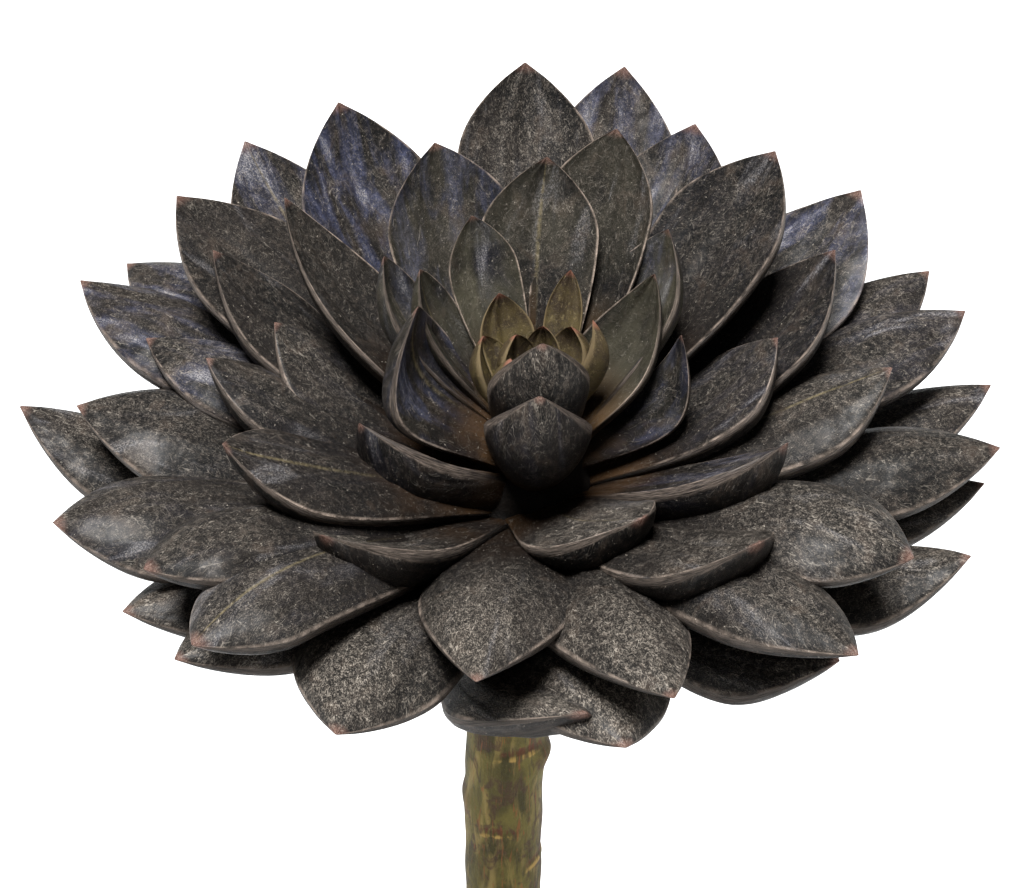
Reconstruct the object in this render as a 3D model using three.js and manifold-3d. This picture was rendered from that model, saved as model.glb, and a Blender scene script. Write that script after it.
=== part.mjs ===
// Potted black aeonium: one rosette of thick dark leaves on a bare woody stem, in a terracotta pot.
// Millimetres, +Z up. The origin is the centre of the pot's underside.

import * as THREE from "three";
import { mergeVertices } from "three/addons/utils/BufferGeometryUtils.js";
import Module from "manifold-3d";

const wasm = await Module();
wasm.setup();

// ---- driving dimensions ----
const gap = 0.3; // clearance between solids that rest on each other

const potHeight = 115;
const potFootRadius = 43;
const potBodyRadius = 58; // outside, just under the rim band
const rimRadius = 65;
const rimBandHeight = 24;
const potWall = 5;
const potFloor = 8;
const drainHoleRadius = 5;
const drainHoleCount = 3;
const drainCircleRadius = 22;

const soilTop = 105;
const soilRipple = 0.8;

const rosetteHeight = 310; // level of the crown's top
const rootDrop = 28; // how far under it a level leaf's root would start
const rootRise = 30; // how much higher an upright leaf's root starts than a level one's
const crownFoot = 272; // lowest point of the crown, round the stem
const crownRadius = 13; // at its middle
const stemRadius = 8.2;
const stemFoot = 62; // lowest point of the stem, deep in the soil
const stemTip = 296; // top of the stem, inside the rosette's core

const leafThickness = 9.6;
const leafBaseWidth = 0.32; // share of a leaf's width left at its root
const widestPoint = 0.74; // share of a leaf's length where it is widest
const usualCurl = -0.06; // how far a leaf's middle stands over its straight line, as a share of its length
const tipFullness = 2.5; // how long the sides stay full before they close at the tip
const tipSoftness = 0.24; // share of the tip's outline that is drawn out to a point
const tipPoint = 1.5; // length of the fine point beyond a leaf's planned length

// ---- small tools ----

const radians = THREE.MathUtils.degToRad;

// A closed solid through rings of points, with a flat cap at its start and a cap or a tip at its end.
// Each ring has the same number of points, anticlockwise when seen from the end.
function loft(rings, tip = centreOf(rings.at(-1))) {
  const sides = rings[0].length;
  const points = rings.flat();
  const faces = [];
  for (let i = 0; i < rings.length - 1; i++) {
    for (let j = 0; j < sides; j++) {
      const a = i * sides + j;
      const b = i * sides + ((j + 1) % sides);
      faces.push(a, b, b + sides, a, b + sides, a + sides);
    }
  }
  const last = (rings.length - 1) * sides;
  const startCentre = points.push(centreOf(rings[0])) - 1;
  const endCentre = points.push(tip) - 1;
  for (let j = 0; j < sides; j++) {
    const next = (j + 1) % sides;
    faces.push(startCentre, next, j);
    faces.push(endCentre, last + j, last + next);
  }
  const geometry = new THREE.BufferGeometry().setFromPoints(points);
  geometry.setIndex(faces);
  return geometry;
}

function centreOf(points) {
  const sum = new THREE.Vector3();
  points.forEach((point) => sum.add(point));
  return sum.divideScalar(points.length);
}

function toSolid(geometry) {
  geometry.deleteAttribute("normal");
  geometry.deleteAttribute("uv");
  const merged = mergeVertices(geometry, 1e-4);
  return new wasm.Manifold(
    new wasm.Mesh({
      numProp: 3,
      vertProperties: new Float32Array(merged.attributes.position.array),
      triVerts: new Uint32Array(merged.index.array),
    }),
  );
}

function toGeometry(solid) {
  const mesh = solid.getMesh();
  const geometry = new THREE.BufferGeometry();
  geometry.setAttribute("position", new THREE.BufferAttribute(mesh.vertProperties, 3));
  geometry.setIndex(new THREE.BufferAttribute(mesh.triVerts, 1));
  geometry.computeVertexNormals();
  return geometry;
}

// Joins solids in pairs and keeps the largest body, so that no loose scrap is left.
function fuse(solids) {
  const joined = solids.reduce((sum, solid) => sum.add(solid));
  const bodies = joined.decompose();
  return bodies.sort((a, b) => b.volume() - a.volume())[0];
}

// A turned solid: profile points are [radius, height], from the axis back to the axis.
function turned(profile, segments) {
  const outline = profile.map(([radius, height]) => new THREE.Vector2(radius, height));
  const geometry = new THREE.LatheGeometry(outline, segments);
  geometry.rotateX(Math.PI / 2);
  return toSolid(geometry);
}

const group = new THREE.Group();

function addPiece(name, solid, colour, roughness) {
  const material = new THREE.MeshStandardMaterial({ color: colour, roughness, metalness: 0 });
  const mesh = new THREE.Mesh(toGeometry(solid), material);
  mesh.name = name;
  group.add(mesh);
}

// ---- stem: a slightly bowed woody tube with leaf scars, knobs and a rounded top ----

// Sideways place of the plant's axis at a height.
const axisCurve = new THREE.CatmullRomCurve3([
  new THREE.Vector3(0.5, 0, 40),
  new THREE.Vector3(0, 0, 106),
  new THREE.Vector3(-1.9, 0, 190),
  new THREE.Vector3(-1, 0, 248),
  new THREE.Vector3(0, 0, 270),
  new THREE.Vector3(4.5, 0, 310),
  new THREE.Vector3(6, 0, 350),
]);
const axisSamples = axisCurve.getSpacedPoints(120);

function axisAt(height) {
  const above = axisSamples.findIndex((point) => point.z >= height);
  const low = axisSamples[above - 1];
  const high = axisSamples[above];
  return low.x + ((high.x - low.x) * (height - low.z)) / (high.z - low.z);
}

// Knobs left by dropped side shoots: [height, bearing in degrees, rise].
const stemKnobs = [
  [238, -8, 1.5],
  [228, 176, 0.5],
  [187, 60, 0.9],
  [161, -120, 1.2],
  [134, 20, 1.0],
];
const stemSides = 16;
const stemStep = 5;

function stemRing(height, extra) {
  const taper = height > stemTip - 12 ? Math.sqrt(1 - ((height - stemTip + 12) / 13.5) ** 2) : 1;
  const flare = 1 + 0.1 * Math.exp(-Math.max(0, height - soilTop) / 12);
  const points = [];
  for (let j = 0; j < stemSides; j++) {
    const angle = (2 * Math.PI * j) / stemSides;
    const scars = 0.18 * Math.sin(height * 0.42 + 1.6 * Math.sin(angle));
    let radius = stemRadius * taper * flare + scars + extra;
    for (const [knobHeight, bearing, rise] of stemKnobs) {
      const across = Math.cos(angle - radians(bearing));
      const along = Math.exp(-(((height - knobHeight) / 3) ** 2));
      radius += rise * along * Math.max(0, across) ** 6;
    }
    points.push(
      new THREE.Vector3(axisAt(height) + radius * Math.cos(angle), radius * Math.sin(angle), height),
    );
  }
  return points;
}

function stemSolid(extra) {
  const rings = [];
  for (let height = stemFoot - extra; height < stemTip + extra - 1; height += stemStep) {
    rings.push(stemRing(height, extra));
  }
  rings.push(stemRing(stemTip + extra, extra));
  return toSolid(loft(rings));
}

// ---- leaves ----

// The leaf plan. Each leaf: [bearing, pitch, length, width, { how it differs from the usual one }].
// The bearing runs anticlockwise from +X and the pitch up from level, both in degrees.
// curl: how far the middle stands over the straight line from root to tip, share of the length.
// roll: turn about its own length, left edge up; bow: sideways bend to the left, share of the length.
// widest, base: the outline's widest point and root width; cup: rise of the edges over the middle, share of
// the half width; crown: how far the top swells, from 0 for none to 1 for the most; plump: extra thickness.
const heartLeaves = [
  [119, 62, 31, 10],
  [144, 60, 25, 9],
  [77, 75, 23, 7],
  [36, 68, 25, 8],
  [134, 75, 22, 7],
  [12, 66, 29, 4.5, { roll: -20 }],
  [65, 63, 35, 6.5],
  [-30, 72, 22, 9],
  [-75, 76, 20, 8],
  [-120, 72, 21, 9],
  [-165, 74, 20, 8],
];

const innerLeaves = [
  [-88, 54, 36, 19, { curl: -0.12, widest: 0.55, base: 0.85 }],
  [-86, 67, 35, 18, { curl: -0.08, widest: 0.6, base: 0.85 }],
  [10, 45, 40, 15, { curl: -0.2, roll: -50, widest: 0.6, base: 0.7 }],
  [28, 53, 43, 16, { curl: -0.1, roll: 12, widest: 0.48, base: 0.7 }],
  [40, 49, 52, 18, { curl: -0.1, base: 0.6 }],
  [-175, 58, 41, 23, { curl: -0.2, roll: -25, widest: 0.6, base: 0.7 }],
  [157, 57, 43, 11, { curl: -0.08 }],
  [165, 54, 50, 12, { curl: -0.08 }],
  [119, 58, 47, 13],
  [-163, 34, 40, 21, { curl: -0.12, roll: 35, widest: 0.6, base: 0.6 }],
];

const middleLeaves = [
  [86, 51, 59, 22, { bow: 0.02 }],
  [68, 49, 67, 22],
  [115, 47, 66, 25, { bow: 0.02 }],
  [148, 39, 72, 17, { widest: 0.58 }],
  [158, 28, 60, 23, { curl: -0.08, crown: 0.8 }],
  [14, 30, 57, 21, { curl: -0.09, crown: 0.6 }],
  [-23, 28, 58, 22, { curl: -0.05, roll: -18, crown: 0.2, cup: 0.15, plump: 1.25 }],
  [-56, 28, 42, 22, { curl: -0.02, bow: -0.12, base: 0.7, crown: 0.3, plump: 1.1 }],
  [-133, 24, 58, 23, { curl: -0.06, roll: 13, crown: 0.2, cup: 0.12, plump: 1.2 }],
  [-154, 28, 69, 23, { curl: -0.03, roll: -8, crown: 0.5, cup: 0 }],
];

const upperLeaves = [
  [91, 41, 85, 27],
  [42, 37, 81, 28, { curl: -0.07, bow: 0.02 }],
  [124, 37, 86, 30, { curl: -0.07, bow: 0.02 }],
  [27, 29, 77, 26, { curl: -0.08, crown: 0 }],
  [8, 21, 76, 24, { curl: -0.04 }],
  [147, 27, 93, 32, { curl: -0.03, bow: -0.02, crown: 0 }],
  [154, 29, 78, 21, { curl: -0.07, crown: 0.3 }],
  [174, 26, 68, 19, { curl: -0.05 }],
  [163, 19, 82, 24, { curl: 0.02 }],
  [-48, 24, 66, 27, { curl: -0.06, roll: -8, crown: 0.4, cup: 0.05, plump: 1.3 }],
  [-97, 16, 71, 28, { curl: 0.05, widest: 0.56, base: 0.6 }],
];

const outerLeaves = [
  [76, 31, 97, 27, { bow: -0.015, crown: 0 }],
  [63, 30, 88, 28, { crown: 0 }],
  [131, 26, 98, 30, { curl: -0.06, crown: 0 }],
  [40, 23, 97, 29, { curl: -0.06, crown: 0.2 }],
  [156, 17, 102, 28, { curl: 0.02 }],
  [23, 15, 100, 25, { curl: 0.02 }],
  [3, 11, 94, 24, { curl: 0.02 }],
  [-29, 16, 82, 26, { curl: 0.08, widest: 0.8 }],
  [-47, 14, 86, 23, { curl: 0.06 }],
  [-70, 14, 76, 25, { curl: 0.04, widest: 0.6, base: 0.6 }],
  [-80, 10, 65, 25, { curl: -0.1, bow: -0.15 }],
  [-114, 10, 79, 29, { curl: 0.03, bow: -0.06, widest: 0.66, base: 0.5 }],
  [-133, 15, 86, 22, { curl: 0.07, widest: 0.8 }],
  [-146, 17, 84, 22, { curl: 0.06, widest: 0.82 }],
  [-163, 14, 92, 27, { curl: 0.02 }],
  [176, 16, 89, 29, { curl: 0.01 }],
];

const lowestLeaves = [
  [49, 17, 100, 25, { curl: 0 }],
  [32, 15, 102, 25, { curl: 0 }],
  [18, 9, 101, 23, { curl: -0.02 }],
  [5, 6, 92, 23, { curl: -0.02 }],
  [-13, 8, 87, 25, { curl: -0.08 }],
  [-38, 7, 73, 25, { curl: -0.08, roll: -12 }],
  [-75, 7, 70, 27, { curl: 0.03 }],
  [-141, 9, 80, 24, { curl: 0.02 }],
  [-153, 9, 82, 27, { curl: 0.01 }],
  [172, 12, 101, 25, { curl: -0.07 }],
  [146, 15, 102, 27, { curl: 0.06 }],
];

// The far side of the rosette: rings of alike leaves, [pitch, first bearing, last bearing, count, length].
const farRings = [
  [6, 42, 160, 6, 86],
  [14, 66, 134, 4, 92],
  [22, 58, 114, 3, 92],
  [31, 94, 112, 2, 74],
];
const farLeafWidth = 27;

function farLeaves() {
  const leaves = [];
  for (const [pitch, first, last, count, length] of farRings) {
    for (let i = 0; i < count; i++) {
      const bearing = first + ((last - first) * i) / (count - 1);
      leaves.push([bearing, pitch, length, farLeafWidth, { curl: -0.03 }]);
    }
  }
  return leaves;
}

// Steeper leaves grow higher on the crown.
function rootHeight(pitch) {
  return rosetteHeight - rootDrop + rootRise * Math.sin(radians(pitch));
}

// Level leaves hang their edges a little and steep ones are cupped.
function usualCup(pitch) {
  return THREE.MathUtils.clamp(-0.4 + 0.0165 * pitch, -0.2, 0.35);
}

// Level leaves are plump on top and steep ones are flat.
function usualCrown(pitch) {
  return THREE.MathUtils.clamp((40 - pitch) / 16, 0, 1);
}

// Half width of a leaf, as a share of its greatest, at a share of its length.
function leafOutline(along, widest, base) {
  if (along < widest) {
    return base + (1 - base) * Math.sin(((Math.PI / 2) * along) / widest) ** 2;
  }
  const beyond = (along - widest) / (1 - widest);
  const full = 1 - beyond ** tipFullness;
  const drawnOut = Math.cos((Math.PI / 2) * beyond) ** 2;
  return (1 - tipSoftness) * full + tipSoftness * drawnOut;
}

const leafStations = [0, 0.25, 0.5, 0.72, 0.85, 0.94];
const topStations = [1, 0.55, 0, -0.55, -1];
const keelStations = [-0.5, 0.5];
const keelFullness = 1.15;
const topSwell = 0.55; // greatest rise of a leaf's top, as a share of its depth

// A boat-shaped leaf: cupped or crowned on top, with a rounded keel below and thin edges.
function leafSolid([bearing, pitch, length, width, bend = {}], grow = 0) {
  const { curl = usualCurl, roll = 0, bow = 0, widest = widestPoint, base = leafBaseWidth } = bend;
  const { cup = usualCup(pitch), crown = usualCrown(pitch), plump = 1 } = bend;
  const root = new THREE.Vector3(axisAt(rootHeight(pitch)), 0, rootHeight(pitch));
  const heading = radians(bearing);
  const rise = radians(pitch);
  const outward = new THREE.Vector3(
    Math.cos(rise) * Math.cos(heading),
    Math.cos(rise) * Math.sin(heading),
    Math.sin(rise),
  );
  const level = new THREE.Vector3(-Math.sin(heading), Math.cos(heading), 0);
  const upright = new THREE.Vector3().crossVectors(outward, level);
  const left = level.clone().applyAxisAngle(outward, radians(roll));
  const up = new THREE.Vector3().crossVectors(outward, left);
  const thickness = leafThickness * Math.min(1, 0.35 + width / 35) * plump;

  const rings = leafStations.map((along) => {
    const share = leafOutline(along, widest, base);
    const halfWidth = (width / 2) * share + grow;
    const depth = thickness * share ** 0.75 * (1 - 0.4 * along);
    const arc = length * Math.sin(Math.PI * along ** 1.6);
    const middle = root
      .clone()
      .addScaledVector(outward, (length + grow) * along)
      .addScaledVector(upright, curl * arc)
      .addScaledVector(level, bow * arc);
    const place = (across, height) =>
      middle
        .clone()
        .addScaledVector(left, across * halfWidth)
        .addScaledVector(up, cup * halfWidth * across ** 2 + height);
    const swell = (across) => (0.05 + topSwell * crown) * depth * (1 - across ** 2) ** 0.75;
    const top = topStations.map((across) => place(across, swell(across) + grow));
    const keelDepth = (across) => depth * keelFullness * (1 - across ** 2) ** 0.5;
    const keel = keelStations.map((across) => place(across, -keelDepth(across) - grow));
    return [...top, ...keel];
  });
  const tip = root.clone().addScaledVector(outward, length + tipPoint + grow);
  return toSolid(loft(rings, tip));
}

const darkPlan = [
  ...innerLeaves,
  ...middleLeaves,
  ...upperLeaves,
  ...outerLeaves,
  ...lowestLeaves,
  ...farLeaves(),
];

// ---- the short cores that the leaves' roots sink into ----

function coreSolid(low, high, lowRadius, middleRadius, highRadius) {
  const sides = 16;
  const ring = (height, radius) =>
    Array.from({ length: sides }, (_, j) => {
      const angle = (2 * Math.PI * j) / sides;
      return new THREE.Vector3(axisAt(height) + radius * Math.cos(angle), radius * Math.sin(angle), height);
    });
  const middle = (low + high) / 2;
  return toSolid(loft([ring(low, lowRadius), ring(middle, middleRadius), ring(high, highRadius)]));
}

const heart = fuse([coreSolid(306, 315, 3, 3.5, 3.5), ...heartLeaves.map((leaf) => leafSolid(leaf))]);
const heartClearance = fuse([
  coreSolid(306 - gap, 315 + gap, 3 + gap, 3.5 + gap, 3.5 + gap),
  ...heartLeaves.map((leaf) => leafSolid(leaf, gap)),
]);

const crown = coreSolid(crownFoot, rosetteHeight, 10, crownRadius, 9);
const darkBody = fuse([crown, ...darkPlan.map((leaf) => leafSolid(leaf))]);
const darkClear = darkBody.subtract(heartClearance).subtract(stemSolid(gap));
const darkLeaves = fuse([darkClear]);

addPiece("dark_leaves", darkLeaves, "#2b2724", 0.62);
addPiece("heart_leaves", heart, "#5c5a2c", 0.55);
addPiece("stem", stemSolid(0), "#6f6a45", 0.75);

// ---- pot: thrown terracotta with a band round the rim and three drain holes ----

const potOutside = [
  [0, 0],
  [potFootRadius - 2, 0],
  [potFootRadius, 2],
  [potBodyRadius, potHeight - rimBandHeight],
  [rimRadius - 2, potHeight - rimBandHeight],
  [rimRadius - 1, potHeight - rimBandHeight + 2],
  [rimRadius, potHeight - 3],
  [rimRadius - 2, potHeight],
];

// Radius of the pot's inside at a height, a straight cone.
function potInside(height) {
  const low = potFootRadius - potWall;
  const high = rimRadius - potWall - 1;
  return low + ((high - low) * (height - potFloor)) / (potHeight - potFloor);
}

const potSegments = 48;
const potBlank = turned(
  [
    ...potOutside,
    [potInside(potHeight) + 2, potHeight],
    [potInside(potHeight - 2), potHeight - 2],
    [potInside(potFloor), potFloor],
    [0, potFloor],
  ],
  potSegments,
);

const drainHoles = Array.from({ length: drainHoleCount }, (_, i) => {
  const angle = (2 * Math.PI * i) / drainHoleCount + Math.PI / 2;
  const drill = new THREE.CylinderGeometry(drainHoleRadius, drainHoleRadius, potFloor * 3, 16);
  drill.rotateX(Math.PI / 2);
  drill.translate(drainCircleRadius * Math.cos(angle), drainCircleRadius * Math.sin(angle), potFloor / 2);
  return toSolid(drill);
});

const pot = drainHoles.reduce((body, hole) => body.subtract(hole), potBlank);
addPiece("pot", pot, "#a85f3d", 0.85);

// ---- soil: fills the pot to just under the rim, with a rippled top and a plain hole for the stem ----

const soilRingCount = 5;
const soilSegments = 40;

function soilRing(height, radius, ripple) {
  return Array.from({ length: soilSegments }, (_, j) => {
    const angle = (2 * Math.PI * j) / soilSegments;
    const wave = ripple * Math.sin(3 * angle + radius * 0.4) * Math.cos(5 * angle + radius * 0.21);
    return new THREE.Vector3(radius * Math.cos(angle), radius * Math.sin(angle), height + wave);
  });
}

function soilSolid() {
  const floor = potFloor + gap;
  const rings = [
    soilRing(floor, potInside(floor) - gap - 0.1, 0),
    soilRing(soilTop - 2, potInside(soilTop - 2) - gap - 0.1, 0),
  ];
  for (let i = 0; i < soilRingCount; i++) {
    const share = 1 - i / soilRingCount;
    const radius = (potInside(soilTop) - 2) * share;
    rings.push(soilRing(soilTop + 3 * (1 - share ** 2), radius, soilRipple));
  }
  return toSolid(loft(rings));
}

const soil = soilSolid().subtract(stemSolid(gap));
addPiece("soil", soil, "#2e231b", 0.95);

export default group;
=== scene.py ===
"""Potted black aeonium: a rosette of near-black succulent leaves on a bare stem, in a terracotta pot.

Metres, +Z up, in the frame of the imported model, whose origin is the centre of the pot's underside.
"""

import random
from math import ceil, cos, degrees, exp, pi, radians, sin, sqrt

import bmesh
import bpy
import numpy as np
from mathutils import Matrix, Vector, noise


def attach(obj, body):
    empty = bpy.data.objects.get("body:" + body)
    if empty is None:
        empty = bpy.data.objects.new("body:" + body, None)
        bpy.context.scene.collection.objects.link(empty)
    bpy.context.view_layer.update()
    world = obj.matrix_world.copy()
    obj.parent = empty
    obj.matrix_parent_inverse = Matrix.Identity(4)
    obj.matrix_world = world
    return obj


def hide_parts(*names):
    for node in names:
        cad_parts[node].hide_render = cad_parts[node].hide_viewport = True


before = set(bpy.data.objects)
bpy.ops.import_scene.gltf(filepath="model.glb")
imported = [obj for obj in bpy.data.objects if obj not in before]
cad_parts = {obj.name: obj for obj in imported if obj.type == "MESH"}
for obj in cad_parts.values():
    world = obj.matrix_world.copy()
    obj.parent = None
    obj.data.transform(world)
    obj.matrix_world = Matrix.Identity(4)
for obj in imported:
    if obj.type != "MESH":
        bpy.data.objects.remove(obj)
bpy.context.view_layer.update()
MM = 0.001  # metres


# ---- pot ----
# A thrown terracotta pot, unglazed, with a plain band round its rim and three drain holes in its floor.
# It is turned in one piece and fired. Its corners are soft, and the maker's fingers left faint rings.

POT_HEIGHT = 115 * MM
POT_FOOT_RADIUS = 43 * MM
POT_BODY_RADIUS = 58 * MM
RIM_RADIUS = 65 * MM
RIM_BAND_HEIGHT = 24 * MM
POT_WALL = 5 * MM
POT_FLOOR = 8 * MM
POT_SEGMENTS = 144
POT_STEP = 3 * MM
POT_MIDDLE_RADIUS = 2 * MM  # of the small flat face in the middle of its floor
RIM_DRAFT = 1 * MM  # how far the rim band leans in, at its lower edge and at its top
RIM_ROUNDING = 3 * MM
CORNER_RADIUS = 1.6 * MM
WALL_STARTS = 30 * MM  # radius beyond which the pot has finger rings and is a little out of round
RINGS_START = 3 * MM  # height
FINGER_RING_DEPTH = 0.12 * MM
OUT_OF_ROUND = 0.10 * MM
SHRINKAGE = 0.15 * MM
DRAIN_HOLE_COUNT = 3
DRAIN_HOLE_RADIUS = 5 * MM
DRAIN_HOLE_SIDES = 32
DRAIN_CIRCLE_RADIUS = 22 * MM
DRILL_PAST = 5 * MM  # how far the drill reaches beyond the floor on either side
PLAIN_UV = (0.5, 0.5)  # for the corners of flat end faces


def pot_inside(height):
    """Radius of the pot's inside at a height, a straight cone."""
    low = POT_FOOT_RADIUS - POT_WALL
    high = RIM_RADIUS - POT_WALL - RIM_DRAFT
    return low + (high - low) * (height - POT_FLOOR) / (POT_HEIGHT - POT_FLOOR)


def soften(corners, radius, steps=4):
    """The same outline with each inner corner turned into a short curve."""
    points = [corners[0]]
    for before, corner, after in zip(corners, corners[1:], corners[2:]):
        here = Vector(corner)
        back, onward = Vector(before) - here, Vector(after) - here
        start = here + back.normalized() * min(radius, back.length / 2)
        end = here + onward.normalized() * min(radius, onward.length / 2)
        for i in range(steps + 1):
            t = i / steps
            points.append(tuple(start * (1 - t) ** 2 + here * 2 * t * (1 - t) + end * t**2))
    points.append(corners[-1])
    return points


def fill_in(outline, step):
    """The same outline with extra points, so that no stretch is longer than the step."""
    points = [outline[0]]
    for start, end in zip(outline, outline[1:]):
        count = max(1, round((Vector(end) - Vector(start)).length / step))
        for i in range(1, count + 1):
            points.append(tuple(Vector(start).lerp(Vector(end), i / count)))
    return points


def add_mesh(name, points, faces, corner_uvs=None, values=None):
    """A new object with a mesh. values holds {attribute name: one vector per point}."""
    mesh = bpy.data.meshes.new(name)
    mesh.from_pydata([tuple(p) for p in points], [], [tuple(f) for f in faces])
    for key, rows in (values or {}).items():
        rows = np.asarray(rows, dtype=np.float32)
        kind, field = ("FLOAT_COLOR", "color") if rows.shape[1] == 4 else ("FLOAT_VECTOR", "vector")
        mesh.attributes.new(key, kind, "POINT").data.foreach_set(field, rows.ravel())
    if corner_uvs is not None:
        uv_map = mesh.uv_layers.new(name="OFBake")
        uv_map.data.foreach_set("uv", np.asarray(corner_uvs, dtype=np.float32).ravel())
    for polygon in mesh.polygons:
        polygon.use_smooth = True
    made = bpy.data.objects.new(name, mesh)
    bpy.context.scene.collection.objects.link(made)
    return made


def circle(sides):
    """Angles evenly spaced round a circle, each with its cosine and its sine."""
    angles = [2 * pi * j / sides for j in range(sides)]
    return [(angle, cos(angle), sin(angle)) for angle in angles]


def closed_tube(ring_count, sides):
    """Faces and corner UVs for rings of points joined into a tube, with a flat face on either end."""
    faces = []
    corner_uvs = []
    for i in range(ring_count - 1):
        for j in range(sides):
            k = (j + 1) % sides
            faces.append((i * sides + j, i * sides + k, (i + 1) * sides + k, (i + 1) * sides + j))
            left, right = j / sides, (j + 1) / sides
            low, high = i / (ring_count - 1), (i + 1) / (ring_count - 1)
            corner_uvs += [(left, low), (right, low), (right, high), (left, high)]
    last = (ring_count - 1) * sides
    faces.append(tuple(range(sides))[::-1])
    faces.append(tuple(range(last, last + sides)))
    return faces, corner_uvs + [PLAIN_UV] * (2 * sides)


def inside_out(faces, corner_uvs):
    """The same faces, looking the other way."""
    turned_uvs = []
    start = 0
    for face in faces:
        end = start + len(face)
        turned_uvs += corner_uvs[start:end][::-1]
        start = end
    return [face[::-1] for face in faces], turned_uvs


pot_outline = soften(
    [
        (POT_MIDDLE_RADIUS, POT_FLOOR),
        (pot_inside(POT_FLOOR), POT_FLOOR),
        (pot_inside(POT_HEIGHT - RIM_ROUNDING), POT_HEIGHT - RIM_ROUNDING),
        (RIM_RADIUS - POT_WALL + 1.5 * RIM_DRAFT, POT_HEIGHT),
        (RIM_RADIUS - RIM_DRAFT, POT_HEIGHT),
        (RIM_RADIUS, POT_HEIGHT - RIM_ROUNDING),
        (RIM_RADIUS - RIM_DRAFT, POT_HEIGHT - RIM_BAND_HEIGHT),
        (POT_BODY_RADIUS, POT_HEIGHT - RIM_BAND_HEIGHT),
        (POT_FOOT_RADIUS, 0),
        (POT_MIDDLE_RADIUS, 0),
    ],
    CORNER_RADIUS,
)
pot_outline = fill_in(pot_outline, POT_STEP)


def pot_mesh():
    """The turned pot, never outside its plain outline."""
    points = []
    for radius, height in pot_outline:
        on_wall = radius > WALL_STARTS
        ring_mark = 0
        if on_wall and height > RINGS_START:
            ring_mark = FINGER_RING_DEPTH * sin(height / MM * 1.1)
        for angle, x, y in circle(POT_SEGMENTS):
            wobble = 0
            if on_wall:
                wobble = OUT_OF_ROUND * sin(2 * angle + height / MM * 0.03) - SHRINKAGE
            out = radius + min(0, ring_mark + wobble)
            points.append((out * x, out * y, height))
    faces, corner_uvs = inside_out(*closed_tube(len(pot_outline), POT_SEGMENTS))
    return add_mesh("terracotta_pot", points, faces, corner_uvs)


def drill_drain_hole(body, angle):
    """Cuts a round hole down through the pot's floor, and leaves the cut in its mesh."""
    points = []
    middle_x, middle_y = DRAIN_CIRCLE_RADIUS * cos(angle), DRAIN_CIRCLE_RADIUS * sin(angle)
    for height in (-DRILL_PAST, POT_FLOOR + DRILL_PAST):
        for _, x, y in circle(DRAIN_HOLE_SIDES):
            points.append((middle_x + DRAIN_HOLE_RADIUS * x, middle_y + DRAIN_HOLE_RADIUS * y, height))
    drill = add_mesh("drill", points, *closed_tube(2, DRAIN_HOLE_SIDES))
    cut = body.modifiers.new("hole", "BOOLEAN")
    cut.object = drill
    cut.solver = "EXACT"
    graph = bpy.context.evaluated_depsgraph_get()
    drilled = bpy.data.meshes.new_from_object(body.evaluated_get(graph))
    body.modifiers.clear()
    body.data = drilled
    bpy.data.objects.remove(drill)


pot = pot_mesh()
for i in range(DRAIN_HOLE_COUNT):
    drill_drain_hole(pot, 2 * pi * i / DRAIN_HOLE_COUNT + pi / 2)


class Value:
    """What one socket gives, which may vary over the surface. Arithmetic on it adds its Math nodes."""

    def __init__(self, finish, socket):
        self.finish = finish
        self.socket = socket

    def maths(self, operation, *values):
        return self.finish.node("Math", {"operation": operation}, dict(enumerate(values)))

    def __add__(self, other):
        return self.maths("ADD", self, other)

    def __radd__(self, other):
        return self.maths("ADD", other, self)

    def __sub__(self, other):
        return self.maths("SUBTRACT", self, other)

    def __rsub__(self, other):
        return self.maths("SUBTRACT", other, self)

    def __mul__(self, other):
        return self.maths("MULTIPLY", self, other)

    def __rmul__(self, other):
        return self.maths("MULTIPLY", other, self)

    def __abs__(self):
        return self.maths("ABSOLUTE", self)

    def ramp(self, low, high, low_gives=0.0, high_gives=1.0):
        """Runs smoothly from one result to the other while the value goes from low to high."""
        sockets = {0: self, 1: low, 2: high, 3: low_gives, 4: high_gives}
        return self.finish.node("MapRange", {"interpolation_type": "SMOOTHSTEP"}, sockets)


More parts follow.
